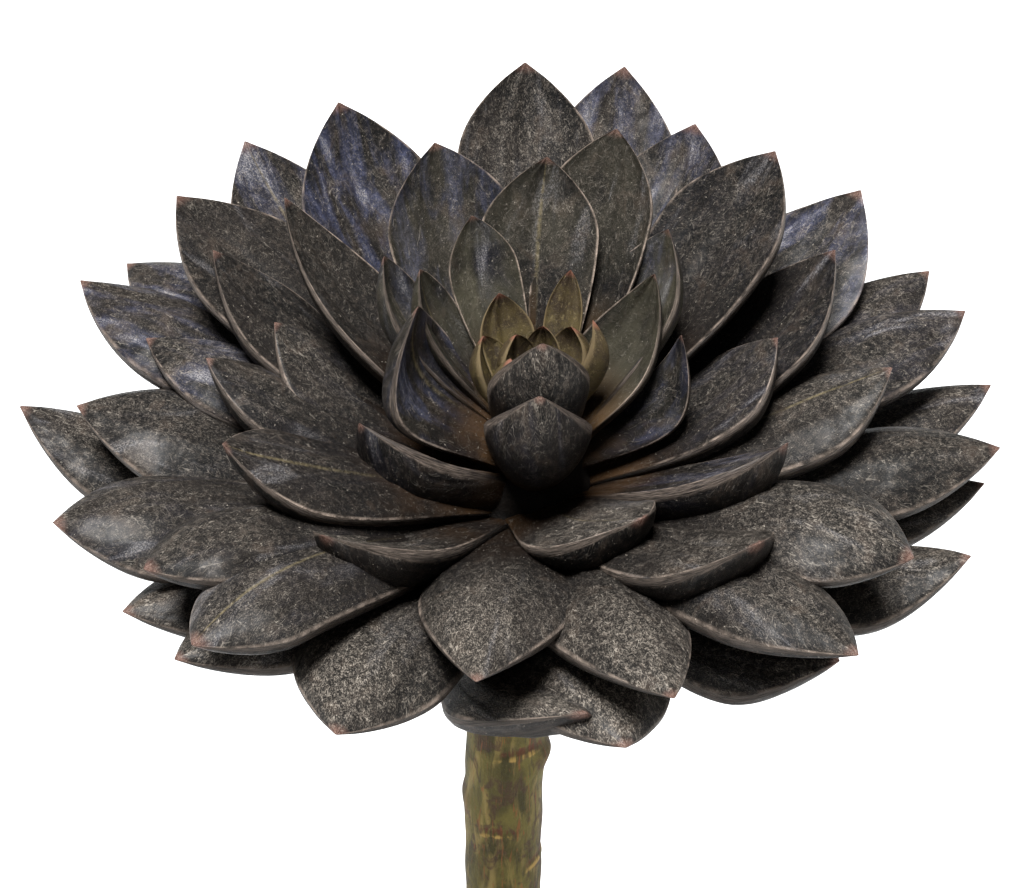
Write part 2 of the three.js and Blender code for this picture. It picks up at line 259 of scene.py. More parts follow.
class Finish:
    """A material for one kind of surface, with a Principled shader and the nodes that feed it."""

    def __init__(self, name):
        self.material = bpy.data.materials.new(name)
        self.material.use_nodes = True
        self.tree = self.material.node_tree
        self.shader = self.tree.nodes["Principled BSDF"]

    def connect(self, socket, value):
        """Links a value that varies to the socket, or sets the socket to a plain one or a colour."""
        if isinstance(value, Value):
            self.tree.links.new(value.socket, socket)
        else:
            socket.default_value = paint(value) if isinstance(value, str) else value

    def node(self, kind, settings, sockets, output=0):
        """Adds a node and gives what one of its outputs gives."""
        made = self.tree.nodes.new("ShaderNode" + kind)
        for key, value in settings.items():
            setattr(made, key, value)
        for key, value in sockets.items():
            self.connect(made.inputs[key], value)
        return Value(self, made.outputs[output])

    def attribute(self, name, output="Vector"):
        return self.node("Attribute", {"attribute_name": name}, {}, output)

    def parts(self, vector):
        """The three numbers of a vector."""
        outputs = self.node("SeparateXYZ", {}, {0: vector}).socket.node.outputs
        return [Value(self, outputs[i]) for i in range(3)]

    def place(self):
        """Where a point lies in its piece's own space, in metres."""
        return self.node("TexCoord", {}, {}, "Object")

    def stretch(self, place, x, y, z):
        """The place with each of its three numbers multiplied, which shrinks a pattern that way."""
        return self.node("VectorMath", {"operation": "MULTIPLY"}, {0: place, 1: (x, y, z)})

    def noise(self, place, scale, detail=3.0, roughness=0.55, distortion=0.0):
        """A random pattern. The scale is one number, or three to stretch the pattern."""
        if isinstance(scale, tuple):
            place, scale = self.stretch(place, *scale), 1
        sockets = dict(Vector=place, Scale=scale, Detail=detail, Roughness=roughness, Distortion=distortion)
        return self.node("TexNoise", {}, sockets)

    def specks(self, place, scale, radius, share):
        """Small round specks: one in some of the cells of a random pattern."""
        cell = self.node("TexVoronoi", {}, {"Vector": place, "Scale": scale}, "Distance")
        chance = Value(self, cell.socket.node.outputs["Color"])
        chosen = self.parts(chance)[0].ramp(1 - share, 1 - share + 0.02)
        return cell.ramp(radius, radius * 0.4) * chosen

    def mix(self, factor, first, second):
        """Blends two colours: the first where the factor is 0 and the second where it is 1."""
        settings = {"data_type": "RGBA", "clamp_factor": True}
        return self.node("Mix", settings, {0: factor, 6: first, 7: second}, 2)

    def lay(self, colour, *layers):
        """Lays colours over a first one. Each layer is how far it covers, and its colour."""
        for cover, over in layers:
            colour = self.mix(cover, colour, over)
        return colour

    def bump(self, height, distance, strength=1.0):
        return self.node("Bump", {}, {"Height": height, "Distance": distance, "Strength": strength})

    def set(self, **sockets):
        """Feeds the Principled shader. Base_Color=... is its socket named Base Color."""
        for key, value in sockets.items():
            self.connect(self.shader.inputs[key.replace("_", " ")], value)

    def cover(self, piece):
        piece.data.materials.clear()
        piece.data.materials.append(self.material)


def paint(code):
    """Linear RGBA of a colour given as six hexadecimal digits."""
    shares = [int(code[i:i + 2], 16) / 255 for i in (0, 2, 4)]
    return tuple(s / 12.92 if s < 0.04045 else ((s + 0.055) / 1.055) ** 2.4 for s in shares) + (1.0,)


def terracotta():
    """Clay in two tones with turning marks. Damp darkens its foot, and pale salts bloom most low down."""
    clay = Finish("terracotta")
    place = clay.place()
    height = clay.parts(place)[2]
    cloud = clay.noise(place, 26, 5, 0.6)
    grain = clay.noise(place, 900, 3, 0.7)
    turning = clay.noise(place, (6, 6, 420), 2)
    damp = clay.noise(place, (40, 40, 12), 4).ramp(0.42, 0.62)
    bloom = clay.noise(place, 55, 6, 0.65, 0.6).ramp(0.56, 0.74) * height.ramp(0.02, 0.1, 0.9, 0.35)
    colour = clay.lay(
        clay.mix(cloud.ramp(0.35, 0.7), "864529", "9c5737"),
        (turning.ramp(0.4, 0.75) * 0.35, "a96847"),
        (grain.ramp(0.55, 0.75) * 0.5, "763a24"),
        (damp * height.ramp(0.0, 0.07, 1.0, 0.15) * 0.35, "70402c"),
        (bloom * 0.55, "bfa792"),
        (clay.specks(place, 420, 0.22, 0.12) * 0.6, "5f3626"),
    )
    clay.set(
        Base_Color=colour,
        Roughness=0.78 + 0.15 * cloud,
        Normal=clay.bump(grain * 0.5 + turning * 0.5 + bloom * 0.3, 0.25 * MM, 0.7),
    )
    return clay


terracotta().cover(pot)
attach(pot, "root")
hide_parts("pot")


# ---- soil ----
# Potting soil that fills the pot to a finger's breadth under the rim: dark peat crumbs, heaped a little
# towards the stem, with a plain hole that the stem stands in.

SOIL_TOP = 105 * MM
SOIL_HEAP = 3 * MM
SOIL_SIDE_GAP = 0.4 * MM
SOIL_FLOOR_GAP = 0.3 * MM
SOIL_EDGE_DEPTH = 3 * MM  # how far down the rough edge of the top runs
SOIL_EDGE_LEAN = 0.9 * MM
STEM_HOLE_RADIUS = 8 * MM  # less than the stem's, so no gap shows round it
SOIL_SIDES = 220
SOIL_STEP = 0.85 * MM


def crumbs(x, y):
    """Height of the soil's crumbs over its smooth top, in metres."""
    place = Vector((x, y, 0.37))
    lumps = noise.fractal(place * 130, 0.9, 2.1, 4)
    grains = abs(noise.noise(place * 620)) + 0.5 * abs(noise.noise(place * 1250))
    return (1.3 * lumps - 1.1 * grains) * MM


def soil_height(radius):
    """Height of the soil's smooth top at a distance from the pot's middle."""
    return SOIL_TOP + SOIL_HEAP * (1 - (radius / pot_inside(SOIL_TOP)) ** 2)


def soil_mesh():
    """The pot's filling. Each ring of points has a radius, a height, and whether crumbs roughen it."""
    edge = pot_inside(SOIL_TOP) - SOIL_SIDE_GAP
    floor_height = POT_FLOOR + SOIL_FLOOR_GAP
    rings = [
        (POT_MIDDLE_RADIUS, floor_height, False),
        (pot_inside(POT_FLOOR) - SOIL_SIDE_GAP, floor_height, False),
        (edge - SOIL_EDGE_LEAN, SOIL_TOP - SOIL_EDGE_DEPTH, False),
    ]
    count = round((edge - STEM_HOLE_RADIUS) / SOIL_STEP)
    for i in range(count + 1):
        radius = edge + (STEM_HOLE_RADIUS - edge) * i / count
        rings.append((radius, soil_height(radius), True))
    points = []
    for radius, height, rough in rings:
        for _, x, y in circle(SOIL_SIDES):
            rise = crumbs(radius * x, radius * y) if rough else 0
            points.append((radius * x, radius * y, height + rise))
    return add_mesh("potting_soil", points, *closed_tube(len(rings), SOIL_SIDES))


soil = soil_mesh()


def peat():
    earth = Finish("peat")
    place = earth.place()
    lumps = earth.noise(place, 190, 5, 0.65)
    grain = earth.noise(place, 1400, 4, 0.7)
    fibre = earth.noise(earth.stretch(place, 1.0, 4.5, 1.0), 420, 2).ramp(0.66, 0.76)
    colour = earth.lay(
        earth.mix(lumps.ramp(0.35, 0.7), "1b130d", "3b2a1d"),
        (grain.ramp(0.5, 0.8) * 0.6, "57402c"),
        (fibre * 0.6, "7b5d40"),
    )
    earth.set(
        Base_Color=colour,
        Roughness=0.85 + 0.12 * lumps,
        Normal=earth.bump(lumps * 0.6 + grain * 0.6, 0.5 * MM),
    )
    return earth


peat().cover(soil)
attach(soil, "root")
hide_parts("soil")


# ---- grit on the soil ----
# Pale perlite and grey-brown grit that is mixed through the soil: loose bits that lie half sunk in its top.

GRIT_COUNT = 230
GRIT_SIZE = (0.7 * MM, 1.9 * MM)
GRIT_SPREAD = (0.035, 0.9)  # share of the soil's top, from the stem outwards, that the bits lie on
GRIT_SEED = 11


def grit_mesh():
    """All the bits of grit in one mesh, each with a shade of its own."""
    draw = random.Random(GRIT_SEED)
    form = bmesh.new()
    bmesh.ops.create_icosphere(form, subdivisions=2, radius=1)
    corners = [v.co.copy() for v in form.verts]
    sides = [[v.index for v in face.verts] for face in form.faces]
    form.free()
    points, faces, corner_uvs, shades = [], [], [], []
    columns = ceil(sqrt(GRIT_COUNT))
    for n in range(GRIT_COUNT):
        radius = sqrt(draw.uniform(*GRIT_SPREAD)) * pot_inside(SOIL_TOP)
        angle = draw.uniform(0, 2 * pi)
        size = draw.uniform(*GRIT_SIZE)
        centre = Vector((radius * cos(angle), radius * sin(angle), 0))
        centre.z = soil_height(radius) + crumbs(centre.x, centre.y) + 0.25 * size
        squash = Vector((draw.uniform(0.7, 1.2), draw.uniform(0.7, 1.2), draw.uniform(0.55, 0.9)))
        seed = Vector((draw.uniform(0, 50), draw.uniform(0, 50), draw.uniform(0, 50)))
        start = len(points)
        shade = draw.random()
        for corner in corners:
            lump = 1 + 0.45 * noise.noise(corner * 1.6 + seed)
            points.append(centre + corner * squash * size * lump)
            shades.append((shade, draw.random(), 0))
        column, row = n % columns, n // columns
        for side in sides:
            faces.append([start + k for k in side])
            for k in side:
                u = 0.5 + 0.45 * corners[k].x * (1 if corners[k].z > 0 else 0.5)
                v = 0.5 + 0.45 * corners[k].y
                corner_uvs.append(((column + u) / columns, (row + v) / columns))
    return add_mesh("soil_grit", points, faces, corner_uvs, {"grit_shade": shades})


grit = grit_mesh()


def grit_stone():
    stone = Finish("grit_stone")
    shade = stone.parts(stone.attribute("grit_shade"))[0]
    place = stone.place()
    grain = stone.noise(place, 1600, 4, 0.7)
    colour = stone.lay(
        stone.mix(shade.ramp(0.45, 0.55), "aca596", "5f5244"),
        (grain.ramp(0.45, 0.75) * 0.6, "4a3b2d"),
    )
    stone.set(Base_Color=colour, Roughness=0.85 + 0.1 * grain, Normal=stone.bump(grain, 0.3 * MM))
    return stone


grit_stone().cover(grit)
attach(grit, "root")
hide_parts("soil")


# ---- stem ----
# The bare, woody stem: olive bark over pith, slightly bowed, with knobs where side shoots broke off and
# scars where old leaves dropped. It is rooted in the soil and ends inside the rosette's crown.

STEM_RADIUS = 8.2 * MM
STEM_FOOT = 62 * MM
STEM_TIP = 296 * MM
STEM_SIDES = 72
STEM_STEP = 0.8 * MM
STEM_ROUNDING = 12  # mm of the stem's top that close to a blunt end
STEM_FLARE = 0.1  # share by which the stem is thicker at the soil
BARK_PATTERN_RADIUS = 8  # mm, of the straight tube that the bark's pattern lies on
BARK_RIPPLE = 0.12  # mm
BARK_ROUGHNESS = 0.06  # mm
KNOB_REACH = (2.6, 3.6)  # mm that a knob runs out over, above it and below it
SCAR_SAG = 1.3  # mm by which a scar's ends lie lower than its middle
SCAR_RIDGE = 0.2  # mm
SCAR_GROOVE = 0.14  # mm
GROOVE_LIFT = 1.6  # mm by which the groove lies over the ridge

# Sideways place of the plant's axis at a height, both in mm.
AXIS_HEIGHTS = [40, 106, 190, 248, 270, 310, 350]
AXIS_OFFSETS = [0.5, 0, -1.9, -1.0, 0, 4.5, 6]

# Knobs left by dropped side shoots: height in mm, bearing in degrees, rise in mm.
STEM_KNOBS = [
    (233, -8, 1.5),
    (220, 176, 0.8),
    (187, 60, 0.9),
    (161, -120, 1.2),
    (134, 20, 1.0),
]

# Leaf scars: height in mm, bearing in degrees, half of the angle that each one spans.
STEM_SCARS = [
    (252, -130, 40),
    (236, -62, 55),
    (214, -98, 35),
    (203, -20, 45),
    (196, 120, 50),
    (178, -150, 45),
    (169, -60, 50),
    (150, 95, 40),
    (142, -105, 45),
    (124, -10, 45),
    (116, 170, 50),
]


def axis_at(height):
    """Sideways place of the plant's axis at a height, in metres, on a smooth curve."""
    heights = np.array(AXIS_HEIGHTS) * MM
    offsets = np.array(AXIS_OFFSETS) * MM
    slopes = np.gradient(offsets, heights)
    i = int(np.clip(np.searchsorted(heights, height) - 1, 0, len(heights) - 2))
    span = heights[i + 1] - heights[i]
    t = (height - heights[i]) / span
    start = (1 + 2 * t) * (1 - t) ** 2 * offsets[i] + t * (1 - t) ** 2 * span * slopes[i]
    end = t**2 * (3 - 2 * t) * offsets[i + 1] + t**2 * (t - 1) * span * slopes[i + 1]
    return start + end


def bark_relief(mm, angle):
    """How far the bark stands out at a height, both in mm, and its shares of knob, scar and bruise."""
    rise = BARK_RIPPLE * sin(mm * 0.42 + 1.6 * sin(angle))
    knob = scar = bruise = 0
    for knob_height, bearing, knob_rise in STEM_KNOBS:
        facing = max(0, cos(angle - radians(bearing)))
        drop = (mm - knob_height) / KNOB_REACH[0 if mm > knob_height else 1]
        rise += knob_rise * exp(-drop**2) * facing**7
        knob += exp(-0.4 * drop**2) * facing**4
    for scar_height, bearing, half_span in STEM_SCARS:
        aside = (degrees(angle) - bearing + 180) % 360 - 180
        arc = scar_height - SCAR_SAG * (aside / half_span) ** 2
        inside = max(0, 1 - (aside / half_span) ** 2)
        ridge = inside * exp(-((mm - arc) / 0.7) ** 2)
        groove = inside * exp(-((mm - arc - GROOVE_LIFT) / 0.9) ** 2)
        rise += SCAR_RIDGE * ridge - SCAR_GROOVE * groove
        scar += ridge
        bruise += groove
    place = Vector((cos(angle) * 1.3, sin(angle) * 1.3, mm * 0.05))
    rise += BARK_ROUGHNESS * noise.fractal(place, 0.9, 2.2, 5)
    return rise, (knob, scar, bruise)


def stem_mesh():
    points, places, marks = [], [], []
    heights = np.append(np.arange(STEM_FOOT, STEM_TIP - 0.5 * MM, STEM_STEP), STEM_TIP)
    for height in heights:
        mm = height / MM
        taper = 1
        if height > STEM_TIP - STEM_ROUNDING * MM:
            closed = (mm - STEM_TIP / MM + STEM_ROUNDING) / (STEM_ROUNDING + 1.5)
            taper = sqrt(max(0.02, 1 - closed**2))
        flare = 1 + STEM_FLARE * exp(-max(0, mm - SOIL_TOP / MM) / 12)
        for angle, x, y in circle(STEM_SIDES):
            rise, mark = bark_relief(mm, angle)
            radius = STEM_RADIUS * taper * flare + rise * MM * taper
            points.append((axis_at(height) + radius * x, radius * y, height))
            places.append((BARK_PATTERN_RADIUS * x, BARK_PATTERN_RADIUS * y, mm))
            marks.append(mark)
    values = {"bark_place": places, "bark_marks": marks}
    return add_mesh("woody_stem", points, *closed_tube(len(heights), STEM_SIDES), values)


stem = stem_mesh()


def bark():
    """Olive bark with corky scars, red-brown bruises above them, dark stubs, and soil on its foot."""
    skin = Finish("bark")
    place = skin.attribute("bark_place")
    height = skin.parts(place)[2]
    cloud = skin.noise(place, (0.16, 0.16, 0.07), 4, 0.6, 0.4)
    streak = skin.noise(place, (0.34, 0.34, 0.06), 4, 0.6, 0.6)
    thread = skin.noise(place, (1.1, 1.1, 0.12), 3, 0.6, 0.8)
    blotch = skin.noise(place, (0.3, 0.3, 0.16), 3, 0.6, 0.9)
    grain = skin.noise(place, (2.4, 2.4, 1.2), 4, 0.7)
    knob, scar, bruise = skin.parts(skin.attribute("bark_marks"))
    cork = (scar * (0.3 + 1.2 * streak.ramp(0.4, 0.6))).ramp(0.2, 0.9)
    red_brown = (bruise * (0.3 + 1.2 * thread.ramp(0.4, 0.6))).ramp(0.2, 0.9)
    stub = knob.ramp(0.25, 0.9) * (0.4 + 0.5 * blotch.ramp(0.4, 0.6))
    cracks = skin.noise(skin.stretch(place, 0.7, 0.7, 0.09), 1.3, 3).ramp(0.6, 0.7)
    splashes = height.ramp(124, 104)
    colour = skin.lay(
        skin.mix(cloud.ramp(0.38, 0.62), "3b3514", "665d2a"),
        (streak.ramp(0.46, 0.7) * 0.6, "9c8650"),
        (blotch.ramp(0.52, 0.64) * 0.75, "452f22"),
        (thread.ramp(0.58, 0.68) * 0.6, "8a4f2a"),
        (cork * 0.8, "b4934f"),
        (red_brown * 0.6, "5c2a1c"),
        (stub, "46261c"),
        (cracks * 0.5, "2b2519"),
        (grain.ramp(0.55, 0.8) * 0.35, "96895f"),
        (splashes * 0.5, "3c3022"),
    )
    skin.set(
        Base_Color=colour,
        Roughness=0.5 + 0.3 * grain,
        Specular_IOR_Level=0.2,
        Normal=skin.bump(thread * 0.6 + grain * 0.6 + streak * 0.6, 0.5 * MM),
    )
    return skin


bark().cover(stem)
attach(stem, "root")
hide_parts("stem")


# ---- dark leaves ----
# Thick, boat-shaped succulent leaves that spiral out of a short crown: nearly upright inside, level at the
# rim. The skin is near black and waxy, with dust and short fibres on it, and it bruises brown at the tips.
# Each leaf grew in place: its root is sunk into the crown.

ROSETTE_HEIGHT = 310 * MM  # level of the crown's top
ROOT_DROP = 28  # mm under the crown's top where a level leaf's root would start
ROOT_RISE = 30  # mm by which an upright leaf's root starts higher than a level one's
LEAF_THICKNESS = 9.6 * MM
LEAF_BASE_WIDTH = 0.32  # share of a leaf's width left at its root
WIDEST_POINT = 0.74  # share of a leaf's length where it is widest
USUAL_CURL = -0.06
TIP_FULLNESS = 2.5  # how long the sides stay full before they close at the tip
TIP_SOFTNESS = 0.24  # share of the tip's outline that is drawn out to a point
TIP_PINCH = 0.35  # how far the last of the tip narrows
TIP_THINNING = 0.4  # share of its depth that a leaf loses towards its tip
HOOK_STARTS = 0.86  # share of the length, beyond which the tip bends up
DROOP_PITCH = 16  # degrees up to which a leaf's tip bends down instead
DROOP = 0.15  # how far it does, as a share of the bend up
CUP_LIMITS = (-0.2, 0.35)  # share of the half width by which the edges rise over the middle
FULL_TOP_PITCH = 24  # degrees up to which leaves are fullest on top
FLAT_TOP_PITCH = 40  # degrees from which they are flat
TOP_RISE = 0.55  # how much more the fullest tops swell than flat ones, share of the depth
CHANNEL_WIDTH = 0.16  # share of the half width, as the next one
KEEL_WIDTH = 0.2
POINT_RADIUS = 0.45 * MM
POINT_DEPTH = 0.25 * MM
POINT_SHARE = 0.04  # share of the length over which the fine point closes

# Ranges of the random draws for each leaf.
WIDEST_SHIFT = 0.03
LEAF_TWIST = 7  # degrees to either side, at the tip
TIP_HOOK = (0.2, 1.4)  # mm
EDGE_WAVE = (0.2, 0.75)  # mm
RIB_HEIGHT = (0.15, 0.4)  # mm
CHANNEL_DEPTH = (0.05, 0.11)  # share of the half width
KEEL_RIDGE = (0.1, 0.5)  # mm

# Points along a leaf, across its top and across its keel.
ALONG_COUNT = 46
TOP_COUNT = 27
KEEL_COUNT = 13
RING_COUNT = TOP_COUNT + KEEL_COUNT

# The leaf plan, ring by ring. Each leaf: bearing, pitch (degrees), length, width (mm), and how it bends.
# curl: how far the middle stands over the straight line from root to tip, share of the length.
# roll: turn about its own length, left edge up; bow: sideways bend to the left, share of the length.
# widest, base: the outline's widest point and root width; cup: rise of the edges over the middle, share of
# the half width; crown: how far the top swells, from 0 for none to 1 for the most; plump: extra thickness.
INNER_LEAVES = [
    (-88, 54, 36, 19, dict(curl=-0.12, widest=0.55, base=0.85)),
    (-86, 67, 35, 18, dict(curl=-0.08, widest=0.6, base=0.85)),
    (10, 45, 40, 11, dict(curl=-0.2, roll=30, widest=0.6, base=0.7, cup=0, crown=0.6)),
    (28, 53, 43, 16, dict(curl=-0.1, roll=12, widest=0.48, base=0.7)),
    (40, 49, 52, 18, dict(curl=-0.1, base=0.6)),
    (-175, 58, 41, 22, dict(curl=-0.2, roll=-25, widest=0.6, base=0.7, cup=0.1, crown=0.2)),
    (157, 57, 43, 11, dict(curl=-0.08)),
    (165, 54, 50, 12, dict(curl=-0.08)),
    (119, 58, 47, 13),
    (-163, 34, 40, 21, dict(curl=-0.12, roll=35, widest=0.6, base=0.6)),
]
MIDDLE_LEAVES = [
    (86, 51, 59, 22, dict(bow=0.02)),
    (68, 49, 67, 22),
    (115, 47, 66, 25, dict(bow=0.02)),
    (148, 39, 72, 17, dict(widest=0.58)),
    (158, 28, 60, 23, dict(curl=-0.08, crown=0.8)),
    (14, 30, 57, 21, dict(curl=-0.09, crown=0.6)),
    (-23, 28, 58, 22, dict(curl=-0.05, roll=-18, crown=0.2, cup=0.15, plump=1.15)),
    (-56, 28, 42, 22, dict(curl=-0.02, bow=-0.12, base=0.7, crown=0.3, plump=1.1)),
    (-133, 24, 58, 23, dict(curl=-0.06, roll=13, crown=0.2, cup=0.12, plump=1.2)),
    (-154, 28, 69, 23, dict(curl=-0.03, roll=-8, crown=0.5, cup=0)),
]
UPPER_LEAVES = [
    (91, 41, 85, 27),
    (42, 37, 81, 28, dict(curl=-0.07, bow=0.02)),
    (124, 37, 86, 30, dict(curl=-0.07, bow=0.02)),
    (27, 29, 77, 26, dict(curl=-0.08, crown=0)),
    (8, 21, 76, 24, dict(curl=-0.04)),
    (147, 27, 93, 32, dict(curl=-0.03, bow=-0.02, crown=0)),
    (154, 29, 78, 21, dict(curl=-0.07, crown=0.3)),
    (174, 26, 68, 19, dict(curl=-0.05)),
    (163, 19, 82, 24, dict(curl=0.02)),
    (-48, 24, 66, 27, dict(curl=-0.06, roll=-8, crown=0.5, cup=0, plump=1.15)),
    (-97, 16, 71, 28, dict(curl=0.05, widest=0.56, base=0.6)),
]
OUTER_LEAVES = [
    (76, 31, 97, 27, dict(bow=-0.015, crown=0)),
    (63, 30, 88, 28, dict(crown=0)),
    (131, 26, 98, 30, dict(curl=-0.06, crown=0)),
    (40, 23, 97, 29, dict(curl=-0.06, crown=0.2)),
    (156, 17, 102, 28, dict(curl=0.02)),
    (23, 15, 100, 25, dict(curl=0.02)),
    (3, 11, 94, 24, dict(curl=0.02)),
    (-29, 16, 82, 26, dict(curl=0.08, widest=0.8)),
    (-47, 14, 86, 23, dict(curl=0.06)),
    (-70, 14, 76, 25, dict(curl=0.04, widest=0.6, base=0.6)),
    (-80, 10, 65, 25, dict(curl=-0.1, bow=-0.15)),
    (-114, 10, 79, 29, dict(curl=0.03, bow=-0.06, widest=0.66, base=0.5)),
    (-133, 15, 86, 22, dict(curl=0.07, widest=0.8)),
    (-146, 17, 84, 22, dict(curl=0.06, widest=0.82)),
    (-163, 14, 92, 27, dict(curl=0.02)),
    (176, 16, 89, 29, dict(curl=0.01)),
]
LOWEST_LEAVES = [
    (49, 17, 100, 25, dict(curl=0)),
    (32, 15, 102, 25, dict(curl=0)),
    (18, 9, 101, 23, dict(curl=-0.02)),
    (5, 6, 92, 23, dict(curl=-0.02)),
    (-13, 8, 87, 25, dict(curl=-0.08)),
    (-38, 7, 73, 25, dict(curl=-0.08, roll=-12)),
    (-75, 7, 70, 27, dict(curl=0.03)),
    (-141, 9, 80, 24, dict(curl=0.02)),
    (-153, 9, 82, 27, dict(curl=0.01)),
    (172, 12, 101, 25, dict(curl=-0.07)),
    (146, 15, 102, 27, dict(curl=0.06)),
]

# The far side: rings of alike leaves, each pitch, first bearing, last bearing, count, length.
FAR_RINGS = [
    (6, 42, 160, 6, 86),
    (14, 66, 134, 4, 92),
    (22, 58, 114, 3, 92),
    (31, 94, 112, 2, 74),
]
FAR_LEAF_WIDTH = 27

far_leaves = []
for pitch, first, last, count, length in FAR_RINGS:
    for bearing in np.linspace(first, last, count):
        far_leaves.append((bearing, pitch, length, FAR_LEAF_WIDTH, dict(curl=-0.03)))


def leaf_outline(along, widest, base):
    """Half width of a leaf, as a share of its greatest, with a short drawn-out tip."""
    rise = np.sin(np.pi / 2 * np.minimum(along / widest, 1)) ** 2
    beyond = np.clip((along - widest) / (1 - widest), 0, 1)
    full = 1 - beyond**TIP_FULLNESS
    drawn_out = np.cos(np.pi / 2 * beyond) ** 2
    tip = (1 - TIP_SOFTNESS) * full + TIP_SOFTNESS * drawn_out
    tip = tip * (1 - TIP_PINCH * np.exp((beyond - 1) / 0.06))
    return np.where(along < widest, base + (1 - base) * rise, tip)


def leaf_axes(bearing, pitch):
    """A leaf's root, and its directions outward, level to its left, and upright."""
    heading, rise = radians(bearing), radians(pitch)
    height = ROSETTE_HEIGHT + (ROOT_RISE * sin(rise) - ROOT_DROP) * MM
    root = np.array([axis_at(height), 0, height])
    level_run = cos(rise)
    outward = np.array([level_run * cos(heading), level_run * sin(heading), sin(rise)])
    level = np.array([-sin(heading), cos(heading), 0])
    return root, outward, level, np.cross(outward, level)


def edge_waves(along, across, draw):
    """How far a leaf's two edges rise and fall along its length, in metres."""
    wave = 0
    for edge in (1, -1):
        phase, waves = draw.uniform(0, 6.3), draw.uniform(0.7, 1.6)
        swell = np.sin(2 * np.pi * waves * along + phase) * np.clip(edge * across, 0, 1) ** 2
        wave = wave + draw.uniform(*EDGE_WAVE) * MM * swell * np.sin(np.pi * along)
    return wave


def long_ribs(along, across, draw):
    """Low ribs that run along a leaf, a little aslant, in metres."""
    ribs = 0
    for waves in (1.1, 1.9, 3.1):
        phase, lean = draw.uniform(0, 6.3), draw.uniform(-0.6, 0.6)
        ripple = np.cos(2 * np.pi * waves * (across + lean * (along - 0.5) * 0.4) + phase)
        ribs = ribs + draw.uniform(*RIB_HEIGHT) * MM / waves**0.5 * ripple
    return ribs * (1 - across**2) * np.sin(np.pi * np.clip(along * 0.96, 0, 1)) ** 0.7


def leaf_points(row, draw):
    """A leaf's rings of points, its tip, each point's place along, across and side, and its length."""
    bearing, pitch, length, width = row[:4]
    bend = row[4] if len(row) > 4 else {}
    curl, roll, bow = bend.get("curl", USUAL_CURL), bend.get("roll", 0), bend.get("bow", 0)
    length, width = length * MM, width * MM
    root, outward, level, upright = leaf_axes(bearing, pitch)

    t = np.linspace(0, 1, ALONG_COUNT)
    along = (1 - (1 - t) ** 1.5)[:-1, None]
    widest = bend.get("widest", WIDEST_POINT) + draw.uniform(-WIDEST_SHIFT, WIDEST_SHIFT)
    share = leaf_outline(along, widest, bend.get("base", LEAF_BASE_WIDTH))
    closing = np.sqrt(np.minimum(1, (1 - along) / POINT_SHARE))
    half_width = width / 2 * share + POINT_RADIUS * closing
    thickness = LEAF_THICKNESS * min(1, 0.35 + width / MM / 35) * bend.get("plump", 1)
    depth = thickness * share**0.9 * (1 - TIP_THINNING * along) + POINT_DEPTH * closing

    # The leaf's middle line, with the directions left and up at each of its points.
    turn = radians(roll) + radians(draw.uniform(-LEAF_TWIST, LEAF_TWIST)) * along[..., None]
    left = level * np.cos(turn) + upright * np.sin(turn)
    up = upright * np.cos(turn) - level * np.sin(turn)
    arc = np.sin(np.pi * along**1.6)
    hook = draw.uniform(*TIP_HOOK) * MM * np.clip((along - HOOK_STARTS) / (1 - HOOK_STARTS), 0, 1) ** 2
    middle = (
        root
        + outward * length * along[..., None]
        + upright * (curl * length * arc)[..., None]
        + level * (bow * length * arc)[..., None]
    )
    middle = middle + up * (hook * (1 if pitch > DROOP_PITCH else -DROOP))[..., None]

    # Each ring runs over the top from the left edge to the right one, and back round the keel.
    top_across = np.cos(np.linspace(0, np.pi, TOP_COUNT))
    keel_across = -np.cos(np.linspace(0, np.pi, KEEL_COUNT + 2))[1:-1]
    across = np.concatenate([top_across, keel_across])[None, :]
    side = np.concatenate([np.zeros(TOP_COUNT), np.ones(KEEL_COUNT)])[None, :]

    # Level leaves are plump on top and hang their edges a little, and steep ones are flat and cupped.
    cup = bend.get("cup", np.clip(-0.4 + 0.0165 * pitch, *CUP_LIMITS))
    fullness = (FLAT_TOP_PITCH - pitch) / (FLAT_TOP_PITCH - FULL_TOP_PITCH)
    crowned = bend.get("crown", np.clip(fullness, 0, 1))
    wave = edge_waves(along, across, draw)
    ribs = long_ribs(along, across, draw)
    channel = -draw.uniform(*CHANNEL_DEPTH) * half_width * np.exp(-((across / CHANNEL_WIDTH) ** 2))
    shape = cup * half_width * across**2 + wave * share
    crown = (0.05 + TOP_RISE * crowned) * depth * (1 - across**2) ** 0.75
    top = shape + crown + ribs + channel * (1 - 0.8 * crowned)
    ridge = draw.uniform(*KEEL_RIDGE) * MM * np.exp(-((across / KEEL_WIDTH) ** 2)) * share
    below = shape - depth * (1 - across**2) ** 0.5 - ridge - 0.3 * ribs
    height = np.where(side > 0, below, top)
    points = middle + left * (across * half_width)[..., None] + up * height[..., None]
    tip = root + outward * length + (middle - root - outward * length * along[..., None])[-1, 0]
    return points, tip, along, across, side, length


def girth(rings):
    """How far each point of a leaf's rings lies from the middle of its own side, round the ring."""
    steps = np.linalg.norm(np.diff(rings, axis=1), axis=2)
    run = np.concatenate([np.zeros((len(rings), 1)), np.cumsum(steps, axis=1)], axis=1)
    top_middle = run[:, TOP_COUNT // 2, None]
    keel_middle = run[:, TOP_COUNT + KEEL_COUNT // 2, None]
    return np.concatenate([top_middle - run[:, :TOP_COUNT], run[:, TOP_COUNT:] - keel_middle], axis=1)


